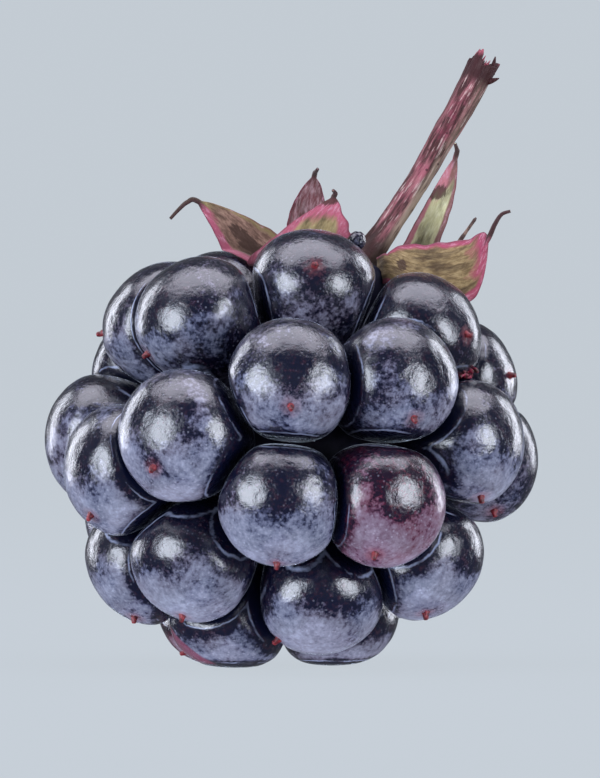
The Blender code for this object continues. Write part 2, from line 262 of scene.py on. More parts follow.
def stem_bark():
    """Sun-reddened bramble stem: dull skin, streaked brown and pink along its ribs.

    The streaks are 0.1 to 0.3 mm wide and ten times as long. The torn end has dried dark.
    Painted shade darkens its left edge, and its foot down in the cup.
    """
    material, tree, shader = new_material("bramble_stem_bark")
    grain = add(tree, "ShaderNodeAttribute", output="Vector", attribute_name="grain")
    drawn = add(tree, "ShaderNodeMapping", {0: grain, "Scale": (1, 1, 0.1)})
    streak, fibre, patch = [
        add(tree, "ShaderNodeTexNoise",
            {0: place, "Scale": 1 / size, "Detail": detail, "Roughness": rough})
        for place, size, detail, rough in (
            (drawn, 0.26, 5, 0.65), (drawn, 0.1, 3, 0.6), (grain, 1.3, 3, 0.6))]
    dots = add(tree, "ShaderNodeTexVoronoi", {0: grain, "Scale": 1 / 0.42})

    # The right side is tan, and most of all low down.
    sideways = add(tree, "ShaderNodeSeparateXYZ", {0: grain}, output="X")
    upwards = add(tree, "ShaderNodeSeparateXYZ", {0: grain}, output="Z")
    lower = add(tree, "ShaderNodeMapRange", {0: upwards, 1: 7.0, 2: 3.5, 3: 0.25, 4: 0.85})
    right_side = add(tree, "ShaderNodeMapRange", {0: sideways, 1: 0.16, 2: 0.3})
    tan = add(tree, "ShaderNodeMath", {0: right_side, 1: lower}, operation="MULTIPLY")
    ragged = add(tree, "ShaderNodeMath", {0: streak, 1: 1.1, 2: upwards},
                 operation="MULTIPLY_ADD")
    colour = layered(tree, "#361b1b", (
        (streak, 0.43, 0.6, 1.0, "#835157"),
        (fibre, 0.57, 0.66, 0.8, "#a28b87"),            # pale fibres
        (patch, 0.54, 0.72, 0.5, "#84304a"),            # rosy patches
        (tan, 0.0, 1.0, 1.0, "#786b5b"),
        (fibre, 0.46, 0.34, 0.85, "#2c1719"),           # dark lines between the fibres
        (sideways, -0.3, -0.42, 0.8, "#3c2121"),        # painted shade along the left edge
        (dots, 0.16, 0.1, 0.8, "#341c1e"),
        (ragged, 9.1, 9.5, 0.95, "#2a1214"),            # the dried end
        (ragged, 10.42, 10.6, 0.85, "#86444f"),         # the bare tips of its fibres
        (ragged, 2.3, 1.2, 0.9, "#2b1a17")))            # painted shade at the foot, down in the cup
    rough = add(tree, "ShaderNodeMapRange", {0: streak, 1: 0.3, 2: 0.7, 3: 0.5, 4: 0.8})
    dress(tree, shader, ((streak, 0.8, 0.06), (fibre, 0.7, 0.03)),
          {"Base Color": colour, "Roughness": rough, "Specular IOR Level": 0.15})
    return material


def receptacle_flesh():
    """Receptacle and calyx cup: dull pith, near black as painted shade, mottled in patches of 0.5
    mm.
    """
    material, tree, shader = new_material("receptacle_flesh_in_painted_shade")
    place = add(tree, "ShaderNodeTexCoord", output="Object")
    shade_mottle = add(tree, "ShaderNodeTexNoise",
                {0: place, "Scale": 1 / (0.5 * MM), "Detail": 4, "Roughness": 0.6})
    # Near black all over, a little lighter in patches: painted shade.
    colour = layered(tree, "#080a18", [(shade_mottle, 0.35, 0.65, 1.0, "#141222")])
    dress(tree, shader, [(shade_mottle, 0.6, 0.05)],
          {"Base Color": colour, "Roughness": 0.6, "Specular IOR Level": 0.1})
    return material


def receptacle_distance(outward):
    """How far the receptacle's surface lies from the middle, measured along outward."""
    along = outward.dot(AXIS)
    return sqrt((RECEPTACLE_ALONG * along) ** 2 + (RECEPTACLE_ACROSS ** 2) * max(0, 1 - along ** 2))


def stem_stations():
    """Places and radii up the stem, and how far up the pedicel each lies, or None below."""
    stations = []
    for step in range(1, RECEPTACLE_STEPS):
        along = -RECEPTACLE_ALONG * cos(pi * step / RECEPTACLE_STEPS)
        bulge = RECEPTACLE_ACROSS * sqrt(1 - (along / RECEPTACLE_ALONG) ** 2)
        stations.append((AXIS * along, max(bulge, NECK_RADIUS), None))
    for along, radius in CUP_RINGS:
        stations.append((AXIS * (CALYX_CENTRE.length + along), radius, None))
    travelled = 0
    path = smooth_path(PEDICEL, PEDICEL_STEPS)
    for before, place in zip([path[0], *path], path):
        travelled += (place - before).length
        radius = PEDICEL_RADIUS * (1.0 - WAIST * sin(travelled * WAIST_RATE))
        radius += FOOT_FLARE * max(0, 1 - travelled / FLARE_LENGTH) ** 2
        radius += TOP_FLARE * max(0, (travelled - TOP_START) / TOP_LENGTH) ** 2
        stations.append((place, radius, travelled))
    return stations


def ribbed(angle, travelled):
    """Height of the shallow ribs and dents on the pedicel, in millimetres."""
    broad = noise.noise(Vector((1.6 * cos(angle), 1.6 * sin(angle), 0.35 * travelled)))
    narrow = noise.noise(Vector((4.6 * cos(angle), 4.6 * sin(angle), 0.6 * travelled + 7)))
    dents = noise.noise(Vector((2.5 * cos(angle), 2.5 * sin(angle), 2.4 * travelled + 31)))
    return 0.06 * broad + 0.045 * narrow + 0.02 * dents


def torn_rag(angle):
    """How far the torn end stands up at an angle round the stem, in millimetres."""
    splinter = noise.noise(Vector((7 * cos(angle), 7 * sin(angle), 3)))
    return TORN_DEPTH * (sin(3 * angle) + 0.6 * cos(5 * angle)) + SPLINTER * splinter


def build_stem():
    """One skin from the receptacle's tip to the torn end, and the fibres that stand on it."""
    stations = stem_stations()
    frames = frames_along([place for place, _, _ in stations], Vector((0, 1, 0)))
    angles = [2 * pi * corner / STEM_SEGMENTS for corner in range(STEM_SEGMENTS)]
    top = stations[-1][2]
    rings, grains = [], []
    for (place, radius, travelled), (_, along, side, other) in zip(stations, frames):
        ring, grain = [], []
        for angle in angles:
            across = spoke(side, other, angle)
            height = radius
            rise = 0.0
            if travelled is None:
                height += LUMPS * noise.noise(place + across * 3)
            else:
                height += ribbed(angle, travelled) * min(1, travelled / RIB_FADE)
                rise = torn_rag(angle) * max(0, 1 - (top - travelled) / TORN_LENGTH) ** 1.5
            ring.append(place + across * height + along * rise)
            # Measured across the view: the grain runs round the stem from its right side.
            grain.append(Vector((across.x * radius, across.y * radius, (travelled or 0) + rise)))
        rings.append(ring)
        grains.append(grain)
    # The broken pith: the end turns in, and sinks between the standing fibres.
    place, along, side, other = frames[-1]
    for share, sink in PITH:
        ring, grain = [], []
        for angle in angles:
            lumps = noise.noise(Vector((9 * share * cos(angle), 9 * share * sin(angle), 12)))
            fibre = PITH_LUMPS * lumps
            across = spoke(side, other, angle)
            rise = torn_rag(angle) * share ** 2 - sink + fibre
            ring.append(place + across * PEDICEL_RADIUS * share + along * rise)
            grain.append(Vector((across.x * share, across.y * share, top + 0.2 * fibre)))
        rings.append(ring)
        grains.append(grain)
    bm = bmesh.new()
    extrude_rings(bm, rings, grain=grains)
    bm.verts.index_update()
    # The calyx cup and the receptacle take the near black of painted shade.
    cup = (sum(1 for _, _, travelled in stations if travelled is None) - 2) * STEM_SEGMENTS
    for face in bm.faces:
        face.material_index = int(min(vertex.index for vertex in face.verts) < cup)

    for angle, out, length, thick in FIBRES:
        foot = place + spoke(side, other, angle) * out - along * FIBRE_ROOT
        lean = along + spoke(side, other, angle + 1) * 0.25
        add_thorn(bm, foot, lean.normalized(), length + FIBRE_ROOT, thick, top + TIP_SHADE)
    for spot, lean, length, thick in POSTS:
        add_thorn(bm, Vector(spot), Vector(lean).normalized(), length, thick, top + POST_SHADE)
    add_piece("stem_with_receptacle", bm, [stem_bark(), receptacle_flesh()], "stem")


def add_thorn(bm, foot, lean, length, thick, shade):
    """A small round-tipped spike, bent a little, for a torn fibre or a spur."""
    grain = bm.verts.layers.float_vector["grain"]
    tip = foot + lean * length + Vector((0, 0, 0.03))
    path = smooth_path([foot, foot + lean * length * 0.5, tip], 4)
    radii = [thick * (1 - 0.85 * (step / (len(path) - 1)) ** 1.4) for step in range(len(path))]
    for ring in add_thread(bm, path, Vector((0.2, 1, 0.1)), radii, 10):
        for vertex in ring:
            vertex[grain] = Vector((vertex.co.x, vertex.co.y, shade))


build_stem()

# ---------------------------------------------------------------------------
# Drupelets: thin-skinned balls of juice, pressed against their neighbours, each rooted on
# the receptacle. The skin is glossy, almost black when ripe, with a mottled waxy bloom,
# and each keeps the dried red stub of its style.
SEAT_RADII = Vector((7.95, 7.8, 7.1))
DRUPELET_ACROSS = 2.55
DRUPELET_OUTWARD = 2.1
DRUPELET_INWARD = 3.6
REST_DEPTH = 8.85
CELL_GAP = 0.15                 # the CAD keeps each cell this far inside its walls
SOFTNESS = 0.2                  # how roundly the skin turns into a pressed wall
PRESSED = 0.25                  # the skin is flattened over this height above the ground
SKIN_DETAIL = 6

STYLE_LENGTH = 0.34             # in the CAD
STYLE_RADIUS = 0.16
STYLE_TILT = 48                 # in degrees, towards the berry's tip
STYLE_STEPS = 7
STUB_LENGTH = 0.24              # what is left of the style, in the looks
STYLE_CORNERS = 14
DIMPLE = 0.06                   # how deep the skin dips round a style
DIMPLE_REACH = 0.12             # how far out, in radians
BLUSH_REACH = 0.24              # how far its red spreads, in radians

# The bloom on the side of a drupelet; how it falls from its underside to its top, which is a
# painted reflection of the pale floor; and what is taken off: at the bulge, for a painted dark
# reflection, on the drupelets that the berry rests on, and towards the crown.
BLOOM = 0.66
PAINTED_REFLECTION_FALL = 0.14
DARK_REFLECTION_LOSS = 0.5
DARK_REFLECTION_REACH = 0.5               # in radians
RESTED_LOSS = 0.12
CROWN_LOSS = 0.16
WALL_SHADE_REACH = 0.7                  # it is also taken off this far beside a pressed wall, as painted shade, and this much farther under a neighbour above
ABOVE_SHADE_REACH = 0.8                 # and this much farther under a neighbour above

# Azimuth from the front towards the right, elevation, size, and reach from the middle.
SEATS = {
    "crown": [(27, 75), (74, 44, 0.98), (135, 30), (169, 33), (-138, 54), (110, 43, 0.7),
              (-172, 52, 0.76)],
    "shoulder": [(-53, 52), (-89, 48, 1.02), (-124, 27), (-158, 28), (-168, 0), (161, 1),
                 (131, 0), (101, 24, 0.97)],
    "middle": [(0, 25), (37, 25), (67, 3), (102, -4, 1.0, 1.03), (147, -26), (178, -28),
               (-136, -2)],
    "lower": [(-34, 6, 1.06), (-61, -6, 1.04), (-99, 3, 1.05), (-120, -26), (-150, -31),
              (172, -57), (124, -41), (63, -39), (30, -17), (-3, -16)],
    "tip": [(17, -57), (-41, -39), (-84, -41, 1.0, 1.02), (-56, -68, 0.98, 1.051),
            (-118, -66, 0.96, 1.07), (95, -76, 0.98, 1.009)],
}
RIPENING = ("lower_9", "tip_5")

# Drupelets at the right side, darker as painted shade, and how much less bloom they are given.
SHADED_DRUPELETS = {"middle_4": 0.3, "crown_2": 0.2, "shoulder_8": 0.15}

# One ripe drupelet is still red underneath: which, the middle of the red, and its reach.
RED_UNDER = "tip_4"
RED_MIDDLE = Vector((-0.62, 0.3, -0.72)).normalized()
RED_REACH = 56                  # in degrees

# Azimuth and elevation of the styles that don't simply lean towards the berry's tip.
STYLE_WAYS = {
    "crown_1": (1, 17), "crown_2": (46, -5), "shoulder_1": (-76, -40), "shoulder_2": (-93, -13),
    "shoulder_8": (55, 3), "middle_1": (0, -26), "middle_2": (19, -39), "middle_3": (19, -62),
    "middle_4": (12, -54), "lower_1": (-33, -32), "lower_2": (-48, -49), "lower_3": (-150, -20),
    "lower_7": (150, -45), "lower_9": (-18, -54), "lower_10": (-19, -78), "tip_1": (-85, -42),
    "tip_2": (-29, -72), "tip_3": (-15, -63), "tip_4": (-110, -35), "tip_6": (140, -35),
}


def direction(azimuth, elevation):
    """The direction from the middle of the berry that two angles in degrees give."""
    azimuth, elevation = radians(azimuth), radians(elevation)
    return Vector((cos(elevation) * sin(azimuth), -cos(elevation) * cos(azimuth), sin(elevation)))


def seat(azimuth, elevation, size=1.0, reach=1.0):
    """A drupelet's place and size, from its angles."""
    outward = direction(azimuth, elevation)
    return Vector(radius * part for radius, part in zip(SEAT_RADII, outward)) * reach, size


DRUPELETS = {f"{ring}_{number}": seat(*angles)
             for ring, group in SEATS.items() for number, angles in enumerate(group, start=1)}


def skin_distance(rays, outward, size):
    """Distance from a seat to the free skin along each ray: an egg with a narrow root."""
    along = rays @ np.array(outward)
    across = np.sqrt(np.clip(1 - along ** 2, 0, 1))
    depth = np.where(along > 0, DRUPELET_OUTWARD, DRUPELET_INWARD)
    return size / np.sqrt((along / depth) ** 2 + (across / DRUPELET_ACROSS) ** 2)


def walls_round(name):
    """The walls of a drupelet's cell, each as its normal and its distance from the seat."""
    place, size = DRUPELETS[name]
    walls = []
    for other, (other_place, other_size) in DRUPELETS.items():
        apart = other_place - place
        if other == name or apart.length > 3 * DRUPELET_ACROSS:
            continue
        share = DRUPELET_ACROSS ** 2 * (size ** 2 - other_size ** 2) / (2 * apart.length)
        walls.append((apart.normalized(), apart.length / 2 + share))
    outward = place.normalized()
    walls.append((-outward, place.dot(outward) - receptacle_distance(outward)))
    walls.append((Vector((0, 0, -1)), place.z + REST_DEPTH))
    return walls


def ripe_skin(name, dark, warm, film, rosy, haze, blush):
    """Bramble skin: clear and glossy over dark juice, with a dull waxy bloom in mottles.

    The bloom is a thin film and, where it is thicker, a pale haze, both in ragged patches
    of 0.2 to 1.7 mm, with pale dots about 0.2 mm apart. Where it lies holds painted light:
    thicker and paler low down as a painted reflection of the pale floor, and taken off for a
    painted dark reflection where the skin bulges and for painted shade towards a pressed
    wall, where a pale painted highlight line marks the turn and the groove is painted dark.
    """
    material, tree, shader = new_material(name)
    place = add(tree, "ShaderNodeTexCoord", output="Object")
    press, left, foot, under = [
        add(tree, "ShaderNodeAttribute", output="Fac", attribute_name=layer)
        for layer in ("press", "bloom", "style_foot", "red_underside")]
    broad, cloud, grit, hue = [
        add(tree, "ShaderNodeTexNoise", {0: place, "Scale": 1 / (size * MM), "Detail": detail,
                                         "Roughness": rough, "Distortion": bent})
        for size, detail, rough, bent in ((1.7, 5, 0.55, 0.5), (0.6, 6, 0.65, 0.3),
                                          (0.2, 4, 0.65, 0), (2.2, 3, 0.5, 0))]
    beads = add(tree, "ShaderNodeTexVoronoi", {0: place, "Scale": 1 / (0.22 * MM)})

    # How thick the bloom is: the bloom attribute, which also holds painted reflection and
    # painted shade, made ragged at three sizes. A film lies where it is thin, in two tones, and a
    # haze where it is thick, partly wax and partly a painted reflection of the pale floor.
    cover = left
    for pattern, share in ((broad, 1.0), (cloud, 0.5), (grit, 0.95)):
        cover = add(tree, "ShaderNodeMath", {0: pattern, 1: share, 2: cover},
                    operation="MULTIPLY_ADD")
    waxy = layered(tree, film, ((hue, 0.42, 0.6, 1.0, rosy), (cover, 1.74, 2.36, 0.92, haze)))
    speck = add(tree, "ShaderNodeMapRange", {0: beads, 1: 0.26, 2: 0.1, 4: 0.28})
    dots = add(tree, "ShaderNodeMath", {0: speck, 1: left}, operation="MULTIPLY")
    reddened = add(tree, "ShaderNodeMath", {0: cloud, 1: 0.8, 2: under},
                   operation="MULTIPLY_ADD")
    flush = add(tree, "ShaderNodeMath", {0: foot, 1: grit}, operation="MULTIPLY")

    # The pale line just before a pressed wall is a painted highlight, broken by the mottle.
    # Both the line and the painted shade of the groove wander with it.
    press = add(tree, "ShaderNodeMath", {0: cloud, 1: 0.22, 2: press}, operation="MULTIPLY_ADD")
    rising, falling = [
        add(tree, "ShaderNodeMapRange", {0: press, 1: start, 2: full},
            interpolation_type="SMOOTHSTEP")
        for start, full in ((-0.27, -0.21), (-0.15, -0.2))]
    line = add(tree, "ShaderNodeMath", {0: rising, 1: falling}, operation="MULTIPLY")
    broken = add(tree, "ShaderNodeMapRange", {0: broad, 1: 0.42, 2: 0.56, 4: 0.6})
    edge = add(tree, "ShaderNodeMath", {0: line, 1: broken}, operation="MULTIPLY")

    colour = layered(tree, dark, (
        (grit, 0.5, 0.68, 1.0, warm),
        (cover, 1.64, 1.84, 1.0, waxy),
        (dots, 0.0, 1.0, 1.0, "#b4b6c6"),               # grains of wax
        (reddened, 0.75, 1.15, 0.85, "#5e2a3e"),        # the red underside
        (flush, 0.22, 0.6, 0.32, blush),                # round the style
        # a painted highlight: the pale line before a pressed wall
        (edge, 0.0, 1.0, 1.0, "#9aa3c0"),
        (press, -0.14, 0.0, 0.98, "#06091a")))          # painted shade: the dark wall in the groove
    dull = add(tree, "ShaderNodeMapRange", {0: broad, 1: 0.35, 2: 0.65, 3: 0.2, 4: 0.42})
    normals = dress(tree, shader, ((cloud, 0.6, 0.07), (grit, 0.5, 0.025), (beads, 0.35, 0.02)), {
        "Base Color": colour, "Roughness": dull, "IOR": 1.42, "Specular IOR Level": 0.15,
        "Coat Weight": 1.0, "Coat Roughness": 0.035, "Coat IOR": 1.6, "Sheen Weight": 0.7,
        "Sheen Roughness": 0.1, "Sheen Tint": srgb("#d2dcee")})
    feed(tree, shader, {"Coat Normal": normals[1]})     # the clear coat covers the dots
    return material


def dried_style(name, brown, red):
    """Dried style: a dull withered thread, red and brown in parts 0.16 mm long."""
    material, tree, shader = new_material(name)
    place = add(tree, "ShaderNodeTexCoord", output="Object")
    withered = add(tree, "ShaderNodeTexNoise", {0: place, "Scale": 1 / (0.16 * MM), "Detail": 3})
    colour = layered(tree, brown, [(withered, 0.4, 0.62, 1.0, red)])
    dress(tree, shader, [(withered, 0.5, 0.03)], {"Base Color": colour, "Roughness": 0.55})
    return material


SKINS = {
    False: ripe_skin("ripe_bramble_skin", "#060818", "#22131e", "#33374d", "#403b4a", "#8f92a4",
                     "#8a4a50"),
    True: ripe_skin("ripening_bramble_skin", "#120716", "#3c0f1e", "#452438", "#4c2030", "#857a8a",
                    "#8c3238"),
}
STYLE_SKIN = dried_style("dried_style", "#3a0a12", "#762028")


def style_ray(name):
    """The direction of a drupelet's style: its own, or as near to it as the walls allow."""
    place, size = DRUPELETS[name]
    outward = place.normalized()
    downward = (outward * outward.dot(AXIS) - AXIS).normalized()
    wish = outward * cos(radians(STYLE_TILT)) + downward * sin(radians(STYLE_TILT))
    if name in STYLE_WAYS:
        wish = direction(*STYLE_WAYS[name])
    for step in range(STYLE_STEPS):
        ray = wish.slerp(outward, step / STYLE_STEPS)
        top = ray * (skin_distance(np.array([ray]), outward, size)[0] + STYLE_LENGTH)
        if all(top.dot(normal) < distance - CELL_GAP - STYLE_RADIUS
               for normal, distance in walls_round(name)):
            return ray
    return None


def nearness(rays, way, reach):
    """1 for a ray along the way, falling off over a reach in radians."""
    return np.exp(-((1 - rays @ np.array(way)) * 2 / reach ** 2))


def cell_surface(name, rays):
    """Distance from the seat to the skin along each ray, its press and its bloom.

    The press is above 0 on a wall and below 0 on the free skin, in millimetres. The bloom
    is 0 to 1, and besides the wax it holds painted reflection and painted shade.
    """
    place, size = DRUPELETS[name]
    skin = skin_distance(rays, place.normalized(), size)
    limits = [skin]
    # The bulge, where bloom is taken off for a painted dark reflection, faces outwards, and a
    # little to the front and up.
    bulge = Vector((place.x, place.y, 0)).normalized() + Vector((0, -0.3, 0.4))
    # More bloom towards the underside, as a painted reflection of the pale floor, and less on the
    # darker drupelets at the right, as painted shade.
    bloom = BLOOM - SHADED_DRUPELETS.get(name, 0) - PAINTED_REFLECTION_FALL * np.clip(rays[:, 2] / 0.6, -1, 1)
    bloom -= CROWN_LOSS * min(max(place.z / 5, 0), 1)
    if name != RED_UNDER:
        bloom -= RESTED_LOSS * min(max(-place.z - 6, 0), 1)
    bloom -= DARK_REFLECTION_LOSS * nearness(rays, bulge.normalized(), DARK_REFLECTION_REACH)
    # A ray that runs along a wall, or away from it, is never stopped by it.
    for normal, distance in walls_round(name):
        facing = rays @ np.array(normal)
        limit = np.where(facing > 0.05, distance / np.maximum(facing, 0.05), 20.0)
        limits.append(limit)
        # Bloom is taken off towards each wall, more under a neighbour above: painted shade.
        shade_reach = WALL_SHADE_REACH + ABOVE_SHADE_REACH * max(0, normal.z) ** 0.5
        bloom *= np.clip((limit - skin - 0.1) / shade_reach, 0, 1) ** 0.7
    limits = np.array(limits)
    rounded = -SOFTNESS * np.log(np.exp(-limits / SOFTNESS).sum(axis=0))
    return rounded, skin - limits[1:].min(axis=0), bloom


def build_drupelet(name):
    """A ball of skin, pressed flat by its neighbours, with the stub of its style."""
    place, size = DRUPELETS[name]
    outward = place.normalized()
    bm = bmesh.new()
    bmesh.ops.create_icosphere(bm, subdivisions=SKIN_DETAIL, radius=1)
    rays = np.array([vertex.co.normalized() for vertex in bm.verts])
    reach, pressed, bloom = cell_surface(name, rays)
    ray = style_ray(name)
    flush = np.zeros(len(rays))
    if ray is not None:
        flush = nearness(rays, ray, BLUSH_REACH)
        reach -= DIMPLE * nearness(rays, ray, DIMPLE_REACH)
    red = np.zeros(len(rays))
    if name == RED_UNDER:
        red = np.clip((rays @ np.array(RED_MIDDLE) - cos(radians(RED_REACH))) / 0.1, 0, 1)
    layers = [bm.verts.layers.float.new(layer)
              for layer in ("press", "bloom", "style_foot", "red_underside")]
    # The skin is never quite even, but less lumpy where it is pressed.
    for vertex, way, distance, *values in zip(bm.verts, rays, reach, pressed, bloom, flush, red):
        spot = place + Vector(way) * distance
        lump = 0.035 * noise.noise(spot * 0.7) + 0.012 * noise.noise(spot * 2.3)
        vertex.co = place + Vector(way) * (distance + lump * (0.3 if values[0] > 0 else 1))
        lift = vertex.co.z + REST_DEPTH
        if lift < PRESSED:
            vertex.co.z = max(0, lift - 0.2 * PRESSED) * 1.25 - REST_DEPTH
        for layer, value in zip(layers, values):
            vertex[layer] = value
    if ray is not None:
        before = set(bm.faces)
        grow_style(bm, place, ray, skin_distance(np.array([ray]), outward, size)[0])
        for face in set(bm.faces) - before:
            face.material_index = 1
    ripening = name in RIPENING
    add_piece(f"fruitlet_{name}", bm, [SKINS[ripening], STYLE_SKIN], f"drupelet_{name}")


def grow_style(bm, place, ray, skin):
    """The style's stub: a short bent thread, flared at its foot and blunt at its tip."""
    sideways = ray.cross(AXIS).normalized()
    foot = place + ray * (skin - 0.12)
    middle = place + ray * (skin + 0.08) + sideways * 0.02
    tip = place + ray * (skin + STUB_LENGTH) - sideways * 0.04
    path = smooth_path([foot, middle, tip], 6)
    rings = []
    for step, (spot, _, side, other) in enumerate(frames_along(path, sideways)):
        share = step / (len(path) - 1)
        radius = 0.17 - 0.14 * share + 0.06 * share ** 2
        radius *= 0.5 if step == len(path) - 1 else 1
        ring = []
        for angle in np.linspace(0, 2 * pi, STYLE_CORNERS, endpoint=False):
            lumps = noise.noise(spot * 7 + Vector((3 * cos(angle), 3 * sin(angle), 0)))
            out = radius * (1 + 0.35 * lumps)
            ring.append(spot + spoke(side, other, angle) * out)
        rings.append(ring)
    extrude_rings(bm, rings)


for name in DRUPELETS:
    build_drupelet(name)

UNSWOLLEN_RADIUS = 0.38
UNSWOLLEN_BLOOM = 0.3


def build_unswollen():
    """One drupelet by the stem's foot never swelled: a small dark wrinkled ball."""
    bm = bmesh.new()
    bmesh.ops.create_icosphere(bm, subdivisions=5, radius=UNSWOLLEN_RADIUS)
    press_layer = bm.verts.layers.float.new("press")
    bloom_layer = bm.verts.layers.float.new("bloom")
    for vertex in bm.verts:
        vertex.co *= 1 + 0.1 * noise.noise(vertex.co * 4) + 0.05 * noise.noise(vertex.co * 11)
        vertex.co += UNSWOLLEN_PLACE
        vertex[press_layer] = -2        # no wall presses on it
        vertex[bloom_layer] = UNSWOLLEN_BLOOM
    add_piece("unswollen_fruitlet", bm, [SKINS[False]], "drupelet_unswollen")


build_unswollen()

# ---------------------------------------------------------------------------
# Sepals: five felted leaves of the calyx, dried and bent back, each drawn out into a dry
# brown awn. They are soft leaf tissue with fine short felt, pink where the sun reached
# the margins, and grow from the calyx cup.
SEPAL_THICKNESS = 0.15
SEPAL_GAP = 0.16                # from a drupelet's skin to the middle of the leaf
SEPAL_ROOT = 0.7                # how far its foot reaches into the cup
AWN_RADIUS = 0.11
BLADE_POINTS = 56
BLADE_STEPS = 14                # from each point of the midrib to the next

# Midrib, awn, width direction, half width, base share, taper and cup, as in the CAD.
# Then the face's two colours and its two margins', where each margin starts, as a share of
# the half width, and how far up the leaf the flush takes the whole width. Last, a dark spot,
# which is a dried scar, but a painted shadow on the back sepal: where it lies across and up
# the leaf, and its half size both ways.
SEPALS = {
    "sepal_left": (
        [(0.4, 2.8, 7.5), (-0.9, 2.85, 7.6), (-1.9, 2.75, 8.35), (-2.75, 2.55, 9.25),
         (-3.85, 2.3, 10.1)],
        [(-4.25, 2.2, 10.05), (-4.6, 2.08, 9.75), (-4.94, 1.95, 9.38)],
        (0.7, 0.25, 0.66), 1.35, 0.85, 2.2, 0.15,
        "#5a4136", "#85685a", "#8c4256", "#746641", 0.55, 0.85, 0.85, (0.1, 0.5, 0.3, 0.2)),
    "sepal_front": (
        [(0.35, 0.95, 7.95), (0.74, 0.8, 8.65), (1.18, 0.7, 9.5), (1.75, 0.65, 10.3)],
        [(1.8, 0.6, 10.45), (1.72, 0.45, 10.55)],
        (0.9, 0.0, 0.12), 2.2, 1.0, 1.4, 0.06,
        "#7d6c48", "#958560", "#95485c", "#95485c", 0.63, 0.68, 0.6, (0.0, 0.96, 1.6, 0.13)),
    "sepal_back": (
        [(1.35, 5.1, 7.1), (0.75, 5.4, 8.3), (0.65, 5.4, 9.7), (0.95, 5.1, 11.1)],
        [(1.0, 5.0, 11.25), (1.1, 4.8, 11.4)],
        (0.9, 0.3, 0.0), 1.0, 0.8, 4.0, 0.25,
        "#5f3438", "#8a6e72", "#4a2226", "#4a2226", 0.8, 0.8, 0.95, (0.5, 0.5, 0.4, 0.1)),
    "sepal_right": (
        [(4.0, 1.2, 7.35), (5.0, 1.45, 7.0), (6.3, 1.7, 7.05), (7.45, 1.9, 7.4), (8.1, 2.0, 8.6)],
        [(8.35, 1.92, 9.15), (8.62, 1.86, 9.55), (8.98, 1.8, 9.69)],
        (-0.1, 0.15, 0.95), 1.4, 0.45, 7.0, 0.12,
        "#5f4c30", "#8a7654", "#8c3a50", "#8a3650", 0.64, 0.84, 0.78, (0.3, 0.14, 0.22, 0.05)),
    "sepal_stem_side": (
        [(4.1, 4.9, 6.6), (5.0, 5.0, 7.3), (5.65, 4.7, 8.7), (6.3, 4.3, 10.3), (6.8, 3.9, 11.95)],
        [(6.83, 3.8, 12.2), (6.75, 3.65, 12.45)],
        (0.9, -0.4, 0.0), 0.85, 0.85, 3.6, 0.35,
        "#b3ae84", "#c4c09c", "#9c5a66", "#6e4444", 0.7, 0.6, 0.78, (-0.45, 0.77, 0.7, 0.045)),
}


